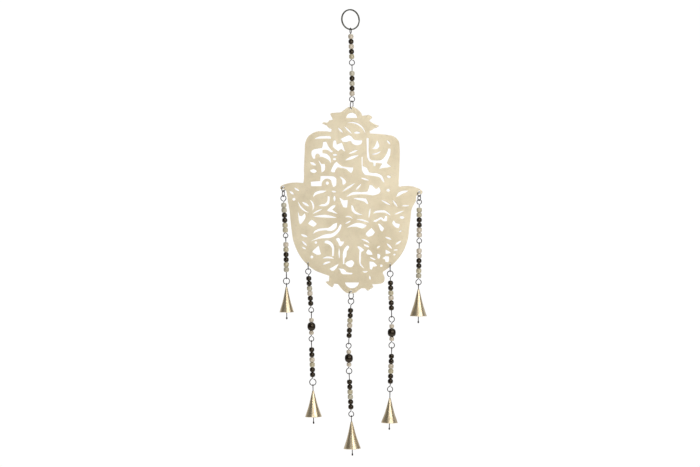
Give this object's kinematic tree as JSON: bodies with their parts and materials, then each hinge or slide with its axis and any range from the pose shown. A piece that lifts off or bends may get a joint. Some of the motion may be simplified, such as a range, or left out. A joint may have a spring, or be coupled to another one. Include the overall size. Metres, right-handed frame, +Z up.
{
  "type": "hanging ornament",
  "caption": "Pierced metal hamsa hand wall hanging on a beaded chain, with strings of dark and light beads that end in small cone bells",
  "frame": {"origin": "middle of the split ring that the ornament hangs from", "axes": "X to the right, Y to the back (the front faces -Y), Z up"},
  "size_m": [0.221, 0.0264, 0.6701],
  "materials": {
    "plate_metal": "pale matt champagne gold",
    "bell_metal": "aged and burnished",
    "wire_metal": "aged grey",
    "light_glass": "milky cream, glossy",
    "dark_glass": "nearly black brown, glossy"
  },
  "bodies": {
    "split_ring": {"split_ring": "wire_metal"},
    "top_link_1": {"top_link_1_wire": "wire_metal"},
    "top_link_1_beads": {"top_link_1_beads": "light_glass"},
    "top_link_2": {"top_link_2_wire": "wire_metal"},
    "top_link_2_beads": {"top_link_2_beads": "light_glass"},
    "plate_jump_ring": {"plate_jump_ring": "wire_metal"},
    "hamsa_plate": {"hamsa_plate": "plate_metal"},
    "outer_left_thumb_ring": {"outer_left_thumb_ring": "wire_metal"},
    "outer_left_lower_ring": {"outer_left_lower_ring": "wire_metal"},
    "outer_left_link_1": {"outer_left_link_1_wire": "wire_metal"},
    "outer_left_link_1_beads": {"outer_left_link_1_beads": "light_glass"},
    "outer_left_link_2": {"outer_left_link_2_wire": "wire_metal"},
    "outer_left_link_2_beads": {"outer_left_link_2_beads": "light_glass"},
    "outer_left_drop_ring": {"outer_left_drop_ring": "wire_metal"},
    "outer_left_bell_hanger": {"outer_left_bell_hanger": "wire_metal"},
    "outer_left_bell": {"outer_left_bell": "bell_metal"},
    "outer_left_clapper": {"outer_left_clapper": "wire_metal"},
    "outer_right_thumb_ring": {"outer_right_thumb_ring": "wire_metal"},
    "outer_right_lower_ring": {"outer_right_lower_ring": "wire_metal"},
    "outer_right_link_1": {"outer_right_link_1_wire": "wire_metal"},
    "outer_right_link_1_beads": {"outer_right_link_1_beads": "light_glass"},
    "outer_right_link_2": {"outer_right_link_2_wire": "wire_metal"},
    "outer_right_link_2_beads": {"outer_right_link_2_beads": "light_glass"},
    "outer_right_bell_hanger": {"outer_right_bell_hanger": "wire_metal"},
    "outer_right_bell": {"outer_right_bell": "bell_metal"},
    "outer_right_clapper": {"outer_right_clapper": "wire_metal"},
    "inner_left_jump_ring": {"inner_left_jump_ring": "wire_metal"},
    "inner_left_link_1": {"inner_left_link_1_wire": "wire_metal"},
    "inner_left_link_1_beads": {"inner_left_link_1_beads": "light_glass"},
    "inner_left_link_2": {"inner_left_link_2_wire": "wire_metal"},
    "inner_left_link_2_beads": {"inner_left_link_2_beads": "dark_glass"},
    "inner_left_link_3": {"inner_left_link_3_wire": "wire_metal"},
    "inner_left_link_3_beads": {"inner_left_link_3_beads": "light_glass"},
    "inner_left_bell_hanger": {"inner_left_bell_hanger": "wire_metal"},
    "inner_left_bell": {"inner_left_bell": "bell_metal"},
    "inner_left_clapper": {"inner_left_clapper": "wire_metal"},
    "centre_jump_ring": {"centre_jump_ring": "wire_metal"},
    "centre_link_1": {"centre_link_1_wire": "wire_metal"},
    "centre_link_1_beads": {"centre_link_1_beads": "light_glass"},
    "centre_link_2": {"centre_link_2_wire": "wire_metal"},
    "centre_link_2_beads": {"centre_link_2_beads": "dark_glass"},
    "centre_link_3": {"centre_link_3_wire": "wire_metal"},
    "centre_link_3_beads": {"centre_link_3_beads": "light_glass"},
    "centre_bell_hanger": {"centre_bell_hanger": "wire_metal"},
    "centre_bell": {"centre_bell": "bell_metal"},
    "centre_clapper": {"centre_clapper": "wire_metal"},
    "inner_right_jump_ring": {"inner_right_jump_ring": "wire_metal"},
    "inner_right_link_1": {"inner_right_link_1_wire": "wire_metal"},
    "inner_right_link_1_beads": {"inner_right_link_1_beads": "light_glass"},
    "inner_right_link_2": {"inner_right_link_2_wire": "wire_metal"},
    "inner_right_link_2_beads": {"inner_right_link_2_beads": "dark_glass"},
    "inner_right_link_3": {"inner_right_link_3_wire": "wire_metal"},
    "inner_right_link_3_beads": {"inner_right_link_3_beads": "light_glass"},
    "inner_right_bell_hanger": {"inner_right_bell_hanger": "wire_metal"},
    "inner_right_bell": {"inner_right_bell": "bell_metal"},
    "inner_right_clapper": {"inner_right_clapper": "wire_metal"}
  },
  "joints": [
    {"name": "top_link_1_swing", "type": "hinge", "parent": "split_ring", "child": "top_link_1", "pos_m": [0.00011, 0, -0.01668], "axis": [0.8829, 0.4695, 0], "range_deg": [-30, 30]},
    {"name": "top_link_1_beads_spin", "type": "hinge", "parent": "top_link_1", "child": "top_link_1_beads", "pos_m": [0.00032, 0, -0.02171], "axis": [-0.0419, 0, 0.9991], "continuous": true},
    {"name": "top_link_2_swing", "type": "hinge", "parent": "top_link_1", "child": "top_link_2", "pos_m": [0.00228, 0, -0.06701], "axis": [0, 1, 0], "range_deg": [-40, 40]},
    {"name": "top_link_2_beads_spin", "type": "hinge", "parent": "top_link_2", "child": "top_link_2_beads", "pos_m": [0.00228, 0, -0.07702], "axis": [0, 0, 1], "continuous": true},
    {"name": "plate_jump_ring_swing", "type": "hinge", "parent": "top_link_2", "child": "plate_jump_ring", "pos_m": [0.00228, 0, -0.12336], "axis": [1, 0, 0], "range_deg": [-40, 40]},
    {"name": "hamsa_plate_swing", "type": "hinge", "parent": "plate_jump_ring", "child": "hamsa_plate", "pos_m": [0.00103, 0, -0.13348], "axis": [0, -1, 0], "range_deg": [-30, 30]},
    {"name": "outer_left_thumb_ring_swing", "type": "hinge", "parent": "hamsa_plate", "child": "outer_left_thumb_ring", "pos_m": [-0.10082, 0, -0.25108], "axis": [0, 1, 0], "range_deg": [-1.5, 35]},
    {"name": "outer_left_lower_ring_swing", "type": "hinge", "parent": "outer_left_thumb_ring", "child": "outer_left_lower_ring", "pos_m": [-0.10082, 0, -0.25783], "axis": [1, 0, 0], "range_deg": [-18, 18]},
    {"name": "outer_left_link_1_swing", "type": "hinge", "parent": "outer_left_lower_ring", "child": "outer_left_link_1", "pos_m": [-0.10082, 0, -0.26563], "axis": [0, -1, 0], "range_deg": [-40, 1]},
    {"name": "outer_left_link_1_beads_spin", "type": "hinge", "parent": "outer_left_link_1", "child": "outer_left_link_1_beads", "pos_m": [-0.10028, 0, -0.27471], "axis": [-0.0593, 0, 0.9982], "continuous": true},
    {"name": "outer_left_link_2_swing", "type": "hinge", "parent": "outer_left_link_1", "child": "outer_left_link_2", "pos_m": [-0.09714, 0, -0.32744], "axis": [0.9982, 0, 0.0593], "range_deg": [-30, 30]},
    {"name": "outer_left_link_2_beads_spin", "type": "hinge", "parent": "outer_left_link_2", "child": "outer_left_link_2_beads", "pos_m": [-0.09703, 0, -0.33371], "axis": [-0.0175, 0, 0.9998], "continuous": true},
    {"name": "outer_left_drop_ring_swing", "type": "hinge", "parent": "outer_left_link_2", "child": "outer_left_drop_ring", "pos_m": [-0.09607, 0, -0.38908], "axis": [0, 1, 0], "range_deg": [-12, 30]},
    {"name": "outer_left_bell_hanger_swing", "type": "hinge", "parent": "outer_left_drop_ring", "child": "outer_left_bell_hanger", "pos_m": [-0.09607, 0, -0.39688], "axis": [1, 0, 0], "range_deg": [-25, 25]},
    {"name": "outer_left_bell_spin", "type": "hinge", "parent": "outer_left_bell_hanger", "child": "outer_left_bell", "pos_m": [-0.09603, 0, -0.40103], "axis": [-0.0087, 0, 1], "continuous": true},
    {"name": "outer_left_clapper_swing", "type": "hinge", "parent": "outer_left_bell_hanger", "child": "outer_left_clapper", "pos_m": [-0.09592, 0, -0.41428], "axis": [0, 1, 0], "range_deg": [-16, 16]},
    {"name": "outer_right_thumb_ring_swing", "type": "hinge", "parent": "hamsa_plate", "child": "outer_right_thumb_ring", "pos_m": [0.10304, 0, -0.25843], "axis": [0, 1, 0], "range_deg": [-35, 1.5]},
    {"name": "outer_right_lower_ring_swing", "type": "hinge", "parent": "outer_right_thumb_ring", "child": "outer_right_lower_ring", "pos_m": [0.10304, 0, -0.26528], "axis": [1, 0, 0], "range_deg": [-18, 18]},
    {"name": "outer_right_link_1_swing", "type": "hinge", "parent": "outer_right_lower_ring", "child": "outer_right_link_1", "pos_m": [0.10304, 0, -0.27158], "axis": [0, -1, 0], "range_deg": [-1, 40]},
    {"name": "outer_right_link_1_beads_spin", "type": "hinge", "parent": "outer_right_link_1", "child": "outer_right_link_1_beads", "pos_m": [0.10304, 0, -0.28181], "axis": [0, 0, 1], "continuous": true},
    {"name": "outer_right_link_2_swing", "type": "hinge", "parent": "outer_right_link_1", "child": "outer_right_link_2", "pos_m": [0.10304, 0, -0.33548], "axis": [1, 0, 0], "range_deg": [-30, 30]},
    {"name": "outer_right_link_2_beads_spin", "type": "hinge", "parent": "outer_right_link_2", "child": "outer_right_link_2_beads", "pos_m": [0.1029, 0, -0.34301], "axis": [0.0175, 0, 0.9998], "continuous": true},
    {"name": "outer_right_bell_hanger_swing", "type": "hinge", "parent": "outer_right_link_2", "child": "outer_right_bell_hanger", "pos_m": [0.10195, 0, -0.39642], "axis": [0, 1, 0], "range_deg": [-30, 12]},
    {"name": "outer_right_bell_spin", "type": "hinge", "parent": "outer_right_bell_hanger", "child": "outer_right_bell", "pos_m": [0.10191, 0, -0.40406], "axis": [0.0052, 0, 1], "continuous": true},
    {"name": "outer_right_clapper_swing", "type": "hinge", "parent": "outer_right_bell_hanger", "child": "outer_right_clapper", "pos_m": [0.10185, 0, -0.41586], "axis": [0, 1, 0], "range_deg": [-16, 16]},
    {"name": "inner_left_jump_ring_swing", "type": "hinge", "parent": "hamsa_plate", "child": "inner_left_jump_ring", "pos_m": [-0.06362, 0, -0.36448], "axis": [0, 1, 0], "range_deg": [-10.5, 11]},
    {"name": "inner_left_link_1_swing", "type": "hinge", "parent": "inner_left_jump_ring", "child": "inner_left_link_1", "pos_m": [-0.06373, 0, -0.37378], "axis": [0.9971, 0, 0.0767], "range_deg": [-35, 35]},
    {"name": "inner_left_link_1_beads_spin", "type": "hinge", "parent": "inner_left_link_1", "child": "inner_left_link_1_beads", "pos_m": [-0.0629, 0, -0.3845], "axis": [-0.0767, 0, 0.9971], "continuous": true},
    {"name": "inner_left_link_2_swing", "type": "hinge", "parent": "inner_left_link_1", "child": "inner_left_link_2", "pos_m": [-0.05869, 0, -0.43784], "axis": [0, -1, 0], "range_deg": [-40, 14]},
    {"name": "inner_left_link_2_beads_spin", "type": "hinge", "parent": "inner_left_link_2", "child": "inner_left_link_2_beads", "pos_m": [-0.05869, 0, -0.44749], "axis": [0, 0, 1], "continuous": true},
    {"name": "inner_left_link_3_swing", "type": "hinge", "parent": "inner_left_link_2", "child": "inner_left_link_3", "pos_m": [-0.05869, 0, -0.48255], "axis": [1, 0, 0], "range_deg": [-30, 30]},
    {"name": "inner_left_link_3_beads_spin", "type": "hinge", "parent": "inner_left_link_3", "child": "inner_left_link_3_beads", "pos_m": [-0.05838, 0, -0.49137], "axis": [-0.0349, 0, 0.9994], "continuous": true},
    {"name": "inner_left_bell_hanger_swing", "type": "hinge", "parent": "inner_left_link_3", "child": "inner_left_bell_hanger", "pos_m": [-0.0564, 0, -0.5472], "axis": [0, 1, 0], "range_deg": [-25, 25]},
    {"name": "inner_left_bell_spin", "type": "hinge", "parent": "inner_left_bell_hanger", "child": "inner_left_bell", "pos_m": [-0.05624, 0, -0.55658], "axis": [-0.0175, 0, 0.9998], "continuous": true},
    {"name": "inner_left_clapper_swing", "type": "hinge", "parent": "inner_left_bell_hanger", "child": "inner_left_clapper", "pos_m": [-0.05604, 0, -0.5682], "axis": [0, 1, 0], "range_deg": [-16, 16]},
    {"name": "centre_jump_ring_swing", "type": "hinge", "parent": "hamsa_plate", "child": "centre_jump_ring", "pos_m": [0.00089, 0, -0.40798], "axis": [0, 1, 0], "range_deg": [-11, 12]},
    {"name": "centre_link_1_swing", "type": "hinge", "parent": "centre_jump_ring", "child": "centre_link_1", "pos_m": [0.00097, 0, -0.41828], "axis": [0.9984, 0, -0.0558], "range_deg": [-35, 35]},
    {"name": "centre_link_1_beads_spin", "type": "hinge", "parent": "centre_link_1", "child": "centre_link_1_beads", "pos_m": [0.00017, 0, -0.43258], "axis": [0.0558, 0, 0.9984], "continuous": true},
    {"name": "centre_link_2_swing", "type": "hinge", "parent": "centre_link_1", "child": "centre_link_2", "pos_m": [-0.00287, 0, -0.48688], "axis": [0, -1, 0], "range_deg": [-20, 16]},
    {"name": "centre_link_2_beads_spin", "type": "hinge", "parent": "centre_link_2", "child": "centre_link_2_beads", "pos_m": [-0.00273, 0, -0.49513], "axis": [-0.0175, 0, 0.9998], "continuous": true},
    {"name": "centre_link_3_swing", "type": "hinge", "parent": "centre_link_2", "child": "centre_link_3", "pos_m": [-0.00209, 0, -0.53142], "axis": [0.9998, 0, 0.0175], "range_deg": [-30, 30]},
    {"name": "centre_link_3_beads_spin", "type": "hinge", "parent": "centre_link_3", "child": "centre_link_3_beads", "pos_m": [-0.00166, 0, -0.53975], "axis": [-0.0523, 0, 0.9986], "continuous": true},
    {"name": "centre_bell_hanger_swing", "type": "hinge", "parent": "centre_link_3", "child": "centre_bell_hanger", "pos_m": [0.00122, 0, -0.59401], "axis": [0, 1, 0], "range_deg": [-25, 25]},
    {"name": "centre_bell_spin", "type": "hinge", "parent": "centre_bell_hanger", "child": "centre_bell", "pos_m": [0.00145, 0, -0.60279], "axis": [-0.0262, 0, 0.9997], "continuous": true},
    {"name": "centre_clapper_swing", "type": "hinge", "parent": "centre_bell_hanger", "child": "centre_clapper", "pos_m": [0.00176, 0, -0.61445], "axis": [0, 1, 0], "range_deg": [-16, 16]},
    {"name": "inner_right_jump_ring_swing", "type": "hinge", "parent": "hamsa_plate", "child": "inner_right_jump_ring", "pos_m": [0.05939, 0, -0.36673], "axis": [0, 1, 0], "range_deg": [-14, 9.5]},
    {"name": "inner_right_link_1_swing", "type": "hinge", "parent": "inner_right_jump_ring", "child": "inner_right_link_1", "pos_m": [0.05933, 0, -0.37702], "axis": [0.9994, 0, 0.0349], "range_deg": [-35, 35]},
    {"name": "inner_right_link_1_beads_spin", "type": "hinge", "parent": "inner_right_link_1", "child": "inner_right_link_1_beads", "pos_m": [0.05983, 0, -0.39127], "axis": [-0.0349, 0, 0.9994], "continuous": true},
    {"name": "inner_right_link_2_swing", "type": "hinge", "parent": "inner_right_link_1", "child": "inner_right_link_2", "pos_m": [0.06177, 0, -0.44684], "axis": [0, -1, 0], "range_deg": [-14, 40]},
    {"name": "inner_right_link_2_beads_spin", "type": "hinge", "parent": "inner_right_link_2", "child": "inner_right_link_2_beads", "pos_m": [0.06177, 0, -0.45671], "axis": [0, 0, 1], "continuous": true},
    {"name": "inner_right_link_3_swing", "type": "hinge", "parent": "inner_right_link_2", "child": "inner_right_link_3", "pos_m": [0.06177, 0, -0.49283], "axis": [1, 0, 0], "range_deg": [-30, 30]},
    {"name": "inner_right_link_3_beads_spin", "type": "hinge", "parent": "inner_right_link_3", "child": "inner_right_link_3_beads", "pos_m": [0.06143, 0, -0.50129], "axis": [0.0401, 0, 0.9992], "continuous": true},
    {"name": "inner_right_bell_hanger_swing", "type": "hinge", "parent": "inner_right_link_3", "child": "inner_right_bell_hanger", "pos_m": [0.05917, 0, -0.55687], "axis": [0, 1, 0], "range_deg": [-25, 25]},
    {"name": "inner_right_bell_spin", "type": "hinge", "parent": "inner_right_bell_hanger", "child": "inner_right_bell", "pos_m": [0.05898, 0, -0.56753], "axis": [0.0175, 0, 0.9998], "continuous": true},
    {"name": "inner_right_clapper_swing", "type": "hinge", "parent": "inner_right_bell_hanger", "child": "inner_right_clapper", "pos_m": [0.05879, 0, -0.57862], "axis": [0, 1, 0], "range_deg": [-16, 16]}
  ]
}
